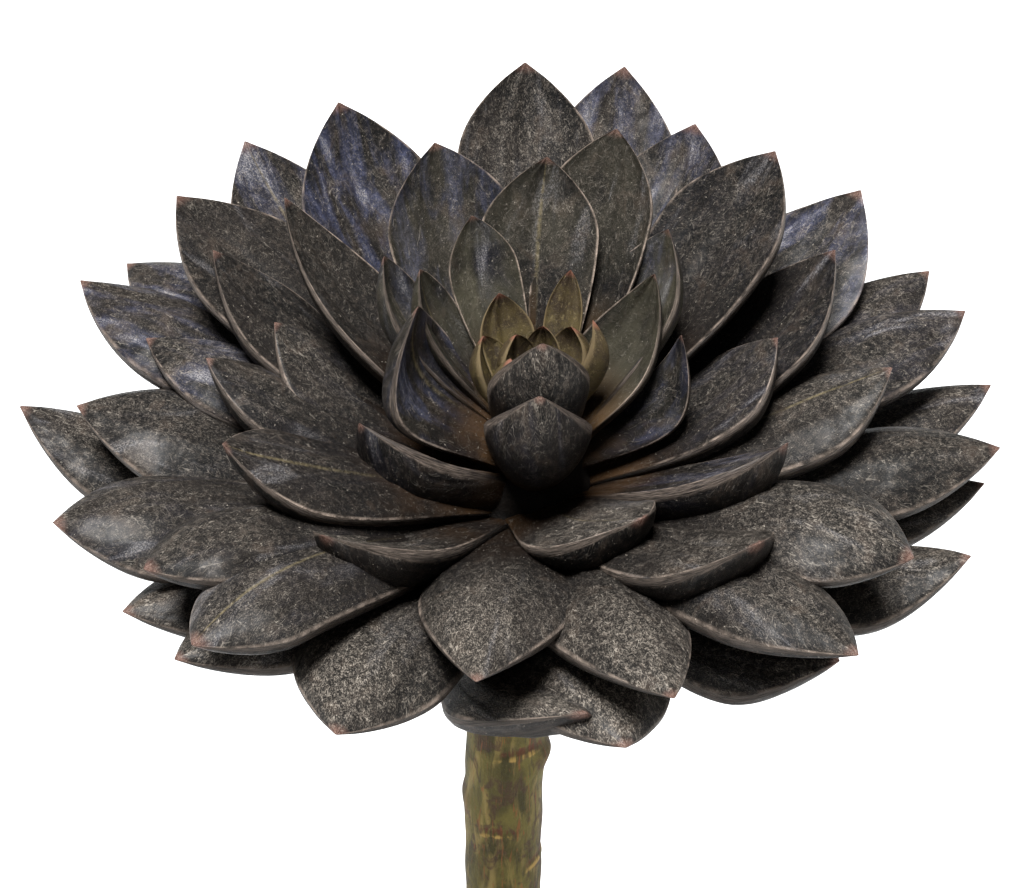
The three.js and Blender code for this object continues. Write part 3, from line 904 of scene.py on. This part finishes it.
def leaf_faces(start, count, column, line, columns):
    """Faces of one leaf, whose points begin at start, with corner UVs in its own cell of a square grid."""

    def uv(i, j):
        u = 0.04 + 0.92 * j / RING_COUNT
        v = 0.04 + 0.92 * i / count
        return (column + u) / columns, (line + v) / columns

    faces, corner_uvs = [], []
    for i in range(count - 1):
        for j in range(RING_COUNT):
            a = start + i * RING_COUNT + j
            b = start + i * RING_COUNT + (j + 1) % RING_COUNT
            faces.append((a, b, b + RING_COUNT, a + RING_COUNT))
            corner_uvs += [uv(i, j), uv(i, j + 1), uv(i + 1, j + 1), uv(i + 1, j)]
    last = start + (count - 1) * RING_COUNT
    tip = start + count * RING_COUNT
    root = tip + 1
    for j in range(RING_COUNT):
        k = (j + 1) % RING_COUNT
        faces.append((last + j, last + k, tip))
        corner_uvs += [uv(count - 1, j), uv(count - 1, j + 1), uv(count, j + 0.5)]
        faces.append((start + k, start + j, root))
        corner_uvs += [uv(0, j + 1), uv(0, j), uv(-0.5, j + 0.5)]
    return faces, corner_uvs


def leaf_group(name, rows, seed, tones):
    """Joins a group's leaves into one object.

    tones(bearing, pitch, draw) gives a leaf's dust, blue (its bluish tint and painted sheen), amber and
    vein.
    Each point also has its place on the leaf's skin in mm, for the patterns, and its place along, across
    and side, as shares.
    """
    draw = random.Random(seed)
    columns = ceil(sqrt(len(rows)))
    points, faces, corner_uvs = [], [], []
    places, forms, tone_rows = [], [], []
    for n, row in enumerate(rows):
        rings, tip, along, across, side, length = leaf_points(row, draw)
        count = rings.shape[0]
        new_faces, new_uvs = leaf_faces(len(points), count, n % columns, n // columns, columns)
        faces += new_faces
        corner_uvs += new_uvs
        points += [*rings.reshape(-1, 3), tip, rings[0].mean(axis=0)]
        mark = draw.uniform(0, 60)
        tone = tones(row[0], row[1], draw)
        along, across, side = np.broadcast_arrays(along, across, side)
        place = np.stack([along * length, girth(rings), (mark + 25 * side) * MM], axis=-1) / MM
        form = np.stack([along, across, side], axis=-1)
        places += [*place.reshape(-1, 3), (length / MM, 0, mark), (0, 0, mark)]
        forms += [*form.reshape(-1, 3), (1, 0, 0), (0, 0, 0)]
        tone_rows += [tone] * (count * RING_COUNT + 2)
    values = {"leaf_place": places, "leaf_form": forms, "leaf_tone": tone_rows}
    return add_mesh(name, points, faces, corner_uvs, values)


def dark_tones(amber):
    """Leaves at the back are bluer and cleaner, their blue partly a tint of their own and partly a painted
    sheen, and those in front are dustier than those at the sides.
    """

    def tones(bearing, pitch, draw):
        back = 0.5 + 0.5 * sin(radians(bearing))
        upright = min(1, max(0, (pitch - 5) / 35))
        clean = min(1, 0.55 * back + 0.5 * upright)
        aside = abs(cos(radians(bearing)))
        dust = 0.9 - 0.45 * clean - 0.3 * aside + draw.uniform(-0.15, 0.15)
        blue_tint_and_sheen = (0.1 + 0.9 * clean) * draw.uniform(0.2, 1.4)
        return (dust, blue_tint_and_sheen, amber * (0.4 + 0.6 * back), draw.uniform(0, 1))

    return tones


def leaf_skin():
    skin = Finish("leaf_skin")
    place = skin.attribute("leaf_place")
    along, across, side = skin.parts(skin.attribute("leaf_form"))
    dust, blue_tint_and_sheen, amber = skin.parts(skin.attribute("leaf_tone"))
    vein = skin.attribute("leaf_tone", "Alpha")
    edge = abs(across)

    cloud = skin.noise(place, 0.07, 3, 0.6)
    patch = skin.noise(place, 0.16, 4, 0.65, 0.6)
    mottle = skin.noise(place, 0.9, 4, 0.7)
    speckle = skin.noise(place, (3.2, 3.8, 1.0), 3, 0.75)
    grain = skin.noise(place, 4.5, 3, 0.75)
    folds = skin.noise(place, (0.035, 0.17, 1.0), 2, 0.5, 0.4)

    # The clean leaves of the back and middle get a painted blue-grey sheen and pale painted highlights in
    # long soft streaks, a reflection painted over a bluish tint of their own. Roots get painted shade,
    # nearly black, under the lower leaves, and are amber brown under the young ones.
    streaks = skin.noise(place, (0.05, 0.17, 1.0), 4, 0.6, 0.6)
    # Painted sheen: a blue-grey reflection laid into the colour of the top side, over the leaf's own bluish
    # tint.
    painted_sheen = streaks.ramp(0.42, 0.64) * blue_tint_and_sheen.ramp(0.2, 1.3) * (1 - 0.7 * side) * along.ramp(0.2, 0.6)
    # Painted highlights: pale grey-white streaks on the top side, strongest towards the tips of the bluer
    # leaves.
    painted_highlights = streaks.ramp(0.56, 0.7) * along.ramp(0.45, 0.85) * (1 - 0.7 * side)
    painted_highlights = painted_highlights * (0.3 + 0.7 * blue_tint_and_sheen.ramp(0.1, 0.8))
    young = amber.ramp(0.6, 0.95) * cloud.ramp(0.3, 0.6)
    colour = skin.lay(
        skin.mix(cloud.ramp(0.35, 0.65), "090808", "191513"),
        (mottle.ramp(0.5, 0.66) * 0.55, "3d352f"),
        (painted_sheen * (0.4 + 0.4 * mottle.ramp(0.4, 0.65)), "404663"),
        (painted_highlights * (0.15 + 0.7 * speckle.ramp(0.48, 0.58)), "9d9a9c"),
        (patch.ramp(0.52, 0.7) * 0.4, "473a30"),
        (young * 0.5, "5f5b49"),
        # Painted shade: the root half darkens to near black where the leaves above cover it.
        (along.ramp(0.9, 0.3) * (1 - 0.6 * amber) * 0.9, "070606"),
        (along.ramp(0.62, 0.2) * amber * 0.8, skin.mix(cloud.ramp(0.35, 0.65), "241911", "5a3e20")),
    )

    # Fine threads that lie on the skin, and the dust that settles on what faces up.
    threads = 0
    for turn, tall, amount in ((0.2, 0.5, 1.0), (-0.5, 0.7, 0.8), (1.0, 0.9, 0.7)):
        turned = skin.node("VectorRotate", {"rotation_type": "Z_AXIS"}, {"Vector": place, "Angle": turn})
        course = skin.noise(turned, (0.16, tall, 1.0), 2, 0.6, 0.3)
        broken = skin.noise(turned, 0.45, 2).ramp(0.5, 0.56)
        threads = threads + abs(course - 0.5).ramp(0.012, 0.004) * broken * amount
    facing_up = skin.parts(skin.node("NewGeometry", {}, {}, "Normal"))[2]
    settled = (0.35 - 0.2 * edge + patch).ramp(0.35, 0.95) * along.ramp(0.4, 0.9)
    settled = settled * facing_up.ramp(-0.2, 0.9) * dust
    film = (0.07 + 0.93 * speckle.ramp(0.47, 0.62)) * settled * (0.3 + 0.7 * mottle.ramp(0.4, 0.6))
    flecks = skin.noise(place, 1.7, 3, 0.7).ramp(0.66, 0.7) * mottle.ramp(0.4, 0.55)

    # A pale line along each edge, a vein down the middle of some leaves, and a brown point.
    line = edge.ramp(0.95, 0.99) * skin.noise(place, 0.4, 3).ramp(0.25, 0.75) * along.ramp(0.3, 0.6)
    midrib = edge.ramp(0.06, 0.0) * along.ramp(0.35, 0.9) * vein.ramp(0.8, 0.97) * (1 - side)
    point = (along + 0.01 * mottle).ramp(0.975, 1.0)
    colour = skin.lay(
        colour,
        (film * 0.8, "b6ab9d"),
        (threads * (settled * 0.6 + 0.1), "bdb2a4"),
        (flecks * 0.55, "c9beae"),
        (line * (0.35 + 0.55 * amber), "bfab9b"),
        (midrib * 0.5 * mottle.ramp(0.3, 0.6), "8d7f5c"),
        (point * 0.6, skin.mix(grain.ramp(0.4, 0.7), "66443a", "b08f80")),
    )
    relief = 0.6 * grain + 0.9 * speckle + 0.8 * mottle + 0.5 * threads + 7.0 * folds + 1.5 * patch
    skin.set(
        Base_Color=colour,
        Roughness=0.4 + 0.3 * film + 0.14 * grain,
        Specular_IOR_Level=0.12,
        Coat_Weight=0.22 * along.ramp(0.5, 0.85) * (1 - film) * (0.3 + 0.7 * patch.ramp(0.42, 0.6)),
        Coat_Roughness=0.4,
        Normal=skin.bump(relief, 0.3 * MM),
    )
    return skin


leaf_finish = leaf_skin()

# Name, leaves, seed of the random draws, and how amber the roots are.
LEAF_GROUPS = [
    ("lowest_leaves", LOWEST_LEAVES, 21, 0.0),
    ("far_leaves", far_leaves, 22, 0.1),
    ("outer_leaves", OUTER_LEAVES, 23, 0.1),
    ("upper_leaves", UPPER_LEAVES, 24, 0.3),
    ("middle_leaves", MIDDLE_LEAVES, 25, 0.75),
    ("inner_leaves", INNER_LEAVES, 26, 1.0),
]
for name, rows, seed, amber in LEAF_GROUPS:
    leaves = leaf_group(name, rows, seed, dark_tones(amber))
    leaf_finish.cover(leaves)
    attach(leaves, "root")
    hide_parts("dark_leaves")


# ---- crown ----
# The short, fleshy top of the stem that the leaves grow out of. It is one with their roots, and only a
# little of it shows between them from below.

# Height and radius, in mm, from its foot round the stem to its top.
CROWN = [(272, 8.9), (275, 9.9), (281, 11.3), (290, 13), (303, 11.5), (310, 9)]
CROWN_STEP = 1.5 * MM
CROWN_LUMP = 0.4 * MM
CROWN_SIDES = 48


def crown_mesh():
    outline = fill_in([(radius * MM, height * MM) for height, radius in CROWN], CROWN_STEP)
    points = []
    for radius, height in outline:
        for angle, x, y in circle(CROWN_SIDES):
            lump = CROWN_LUMP * sin(5 * angle + height / MM * 0.8)
            out = radius + lump - CROWN_LUMP
            points.append((axis_at(height) + out * x, out * y, height))
    return add_mesh("crown", points, *closed_tube(len(outline), CROWN_SIDES))


crown = crown_mesh()


def crown_flesh():
    flesh = Finish("crown_flesh")
    place = flesh.place()
    cloud = flesh.noise(place, 240, 4, 0.65)
    grain = flesh.noise(place, 1500, 3, 0.7)

    # Its foot takes on the colour of the bark, with no clear line between them.
    foot = (flesh.parts(place)[2] + 0.004 * cloud).ramp(0.286, 0.275)
    # The flesh is painted near black, as shade deep among the leaf roots.
    colour = flesh.lay(
        flesh.mix(cloud.ramp(0.35, 0.7), "0c0a08", "1a1511"),
        (grain.ramp(0.5, 0.8) * 0.3, "2c241c"),
        (foot * 0.85, "4c4020"),
    )
    flesh.set(
        Base_Color=colour,
        Roughness=0.7 + 0.2 * grain,
        Specular_IOR_Level=0.2,
        Normal=flesh.bump(grain + cloud, 0.3 * MM),
    )
    return flesh


crown_flesh().cover(crown)
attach(crown, "root")
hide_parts("dark_leaves")


# ---- heart leaves ----
# The youngest leaves, in the middle of the rosette: small, upright and still olive green, with pale edges
# and reddish tips. They grow from the crown's top as the dark ones do.

HEART_SEED = 31

# Each leaf as in the dark leaves' plan.
HEART_LEAVES = [
    (119, 62, 31, 10),
    (144, 60, 25, 9),
    (77, 75, 23, 7),
    (36, 68, 25, 8),
    (134, 75, 22, 7),
    (12, 66, 29, 4.5, dict(roll=-20)),
    (65, 63, 35, 6.5),
    (-30, 72, 22, 9),
    (-75, 76, 20, 8),
    (-120, 72, 21, 9),
    (-165, 74, 20, 8),
]


def heart_tones(bearing, pitch, draw):
    """Heart leaves differ in their shade alone, wherever they stand."""
    return (0.3, 0.2, draw.uniform(0, 1), 0)


heart = leaf_group("heart_leaves_fine", HEART_LEAVES, HEART_SEED, heart_tones)


def heart_skin():
    skin = Finish("heart_skin")
    place = skin.attribute("leaf_place")
    along, across = skin.parts(skin.attribute("leaf_form"))[:2]
    shade = skin.parts(skin.attribute("leaf_tone"))[2]
    edge = abs(across)
    cloud = skin.noise(place, 0.3, 4, 0.65)
    mottle = skin.noise(place, 1.3, 4, 0.7)
    grain = skin.noise(place, 4.5, 3, 0.75)
    colour = skin.lay(
        skin.mix(cloud.ramp(0.35, 0.65), "2d2412", "5f532a"),
        (shade * 0.65, "33261b"),
        (along.ramp(0.45, 0.95) * (0.3 + 0.5 * mottle.ramp(0.4, 0.6)), "382a1f"),
        (mottle.ramp(0.54, 0.66) * 0.6, "7b6d48"),
        (edge.ramp(0.9, 1.0) * 0.5, "a08a64"),
        (grain.ramp(0.52, 0.72) * 0.4, "877b62"),
        (along.ramp(0.95, 0.99) * 0.6, "96604f"),
    )
    skin.set(
        Base_Color=colour,
        Roughness=0.42 + 0.25 * grain,
        Specular_IOR_Level=0.35,
        Normal=skin.bump(grain + cloud, 0.2 * MM),
    )
    return skin


heart_skin().cover(heart)
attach(heart, "root")
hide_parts("heart_leaves")


# ---- setting ----
# A plain pale floor in front of white, one broad light from above with a weak one from either side, and
# the camera: it looks down on the rosette at the photograph's angle. None of this is part of the object.

FLOOR_HALF = 4.0
FLOOR_CORNERS = [(-1, -1), (1, -1), (1, 1), (-1, 1)]
floor = add_mesh("floor", [(x * FLOOR_HALF, y * FLOOR_HALF, 0) for x, y in FLOOR_CORNERS], [(0, 1, 2, 3)])


def pale_floor():
    paper = Finish("pale_floor")
    place = paper.place()
    tint = paper.noise(place, 3, 2)
    paper.set(Base_Color=paper.mix(tint, "dcdcdb", "e0e0df"), Roughness=0.9)
    return paper


pale_floor().cover(floor)

# The world looks white and gives only a little light.
WORLD_LIGHT = 0.05
WHITE = (1.0, 1.0, 1.0, 1.0)
world = bpy.data.worlds.new("studio")
world.use_nodes = True
sky = world.node_tree
seen = sky.nodes.new("ShaderNodeLightPath")
share = sky.nodes.new("ShaderNodeMapRange")
share.inputs["To Min"].default_value = WORLD_LIGHT
sky.links.new(seen.outputs["Is Camera Ray"], share.inputs["Value"])
background = sky.nodes["Background"].inputs
sky.links.new(share.outputs["Result"], background["Strength"])
background["Color"].default_value = WHITE
bpy.context.scene.world = world

ROSETTE_CENTRE = Vector((0, 0, ROSETTE_HEIGHT))
SUN_WIDTH = radians(24)
FILL_SIZE = 0.8


def aim(made, place):
    """Puts a lamp or the camera at a place, looking at the middle of the rosette."""
    made.location = place
    made.rotation_euler = (ROSETTE_CENTRE - Vector(place)).to_track_quat("-Z", "Y").to_euler()
    bpy.context.scene.collection.objects.link(made)


def add_lamp(name, kind, place, strength, colour):
    lamp = bpy.data.lights.new(name, kind)
    lamp.energy = strength
    lamp.color = colour
    aim(bpy.data.objects.new(name, lamp), place)
    return lamp


add_lamp("overhead", "SUN", (-0.3, -0.4, 2.6), 8.6, (0.98, 0.99, 1.0)).angle = SUN_WIDTH
add_lamp("left_fill", "AREA", (-1.2, -0.5, 0.7), 1.3, (1.0, 0.98, 0.95)).size = FILL_SIZE
add_lamp("right_fill", "AREA", (1.2, -0.3, 0.6), 1.3, (1.0, 0.97, 0.94)).size = FILL_SIZE

CAMERA_ELEVATION = radians(36)
CAMERA_DISTANCE = 0.475
PHOTO_COLUMNS = 1024
PHOTO_SCALE = 0.19 * MM  # that one column of the picture spans at the rosette
camera = bpy.data.cameras.new("camera")
camera.lens = camera.sensor_width * CAMERA_DISTANCE / (PHOTO_SCALE * PHOTO_COLUMNS)
viewer = bpy.data.objects.new("camera", camera)
back = Vector((0, -cos(CAMERA_ELEVATION), sin(CAMERA_ELEVATION)))
aim(viewer, ROSETTE_CENTRE + back * CAMERA_DISTANCE)
bpy.context.scene.camera = viewer
bpy.context.scene.view_settings.view_transform = "Standard"
